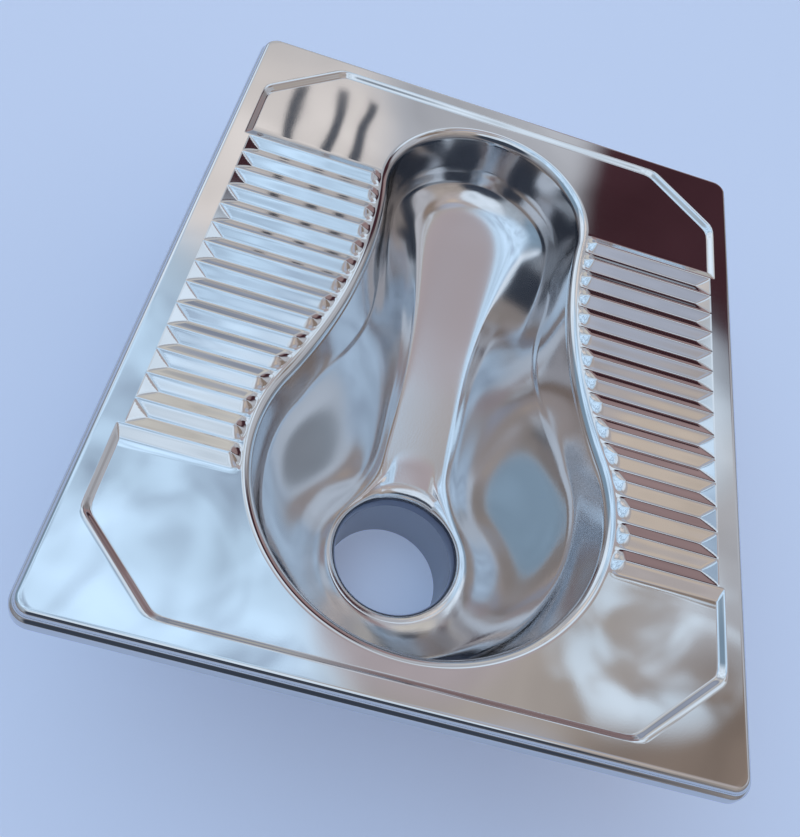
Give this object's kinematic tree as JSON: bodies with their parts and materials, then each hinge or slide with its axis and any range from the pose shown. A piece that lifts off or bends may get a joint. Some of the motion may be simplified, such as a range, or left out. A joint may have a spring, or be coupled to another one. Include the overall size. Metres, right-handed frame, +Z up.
{
  "type": "squat toilet pan",
  "caption": "Stainless steel squat toilet pan: flat deck with ribbed treads in a sunk octagonal panel, and a keyhole-shaped bowl whose stepped channel falls to a round drain.",
  "frame": {"origin": "centre of the four fixing holes, on the floor seat (the underside of the frame and the lugs)", "axes": "+Z up out of the floor, +Y towards the bowl's narrow end, +X to the right when looking from the drain end towards +Y"},
  "size_m": [0.4376, 0.5356, 0.177],
  "materials": {
    "polished_steel": "polished to a mirror",
    "satin_steel": "satin, as drawn",
    "dull_steel": "dull mill finish",
    "bitumen_pad": "matt"
  },
  "bodies": {
    "root": {"deck": "polished_steel", "bowl": "satin_steel", "outlet_collar": "dull_steel", "hem_frame": "dull_steel", "tread_stiffener_left": "dull_steel", "tread_stiffener_right": "dull_steel", "tread_pad_left": "bitumen_pad", "tread_pad_right": "bitumen_pad", "fixing_lug_narrow_left": "dull_steel", "fixing_lug_narrow_right": "dull_steel", "fixing_lug_wide_left": "dull_steel", "fixing_lug_wide_right": "dull_steel"}
  },
  "joints": []
}
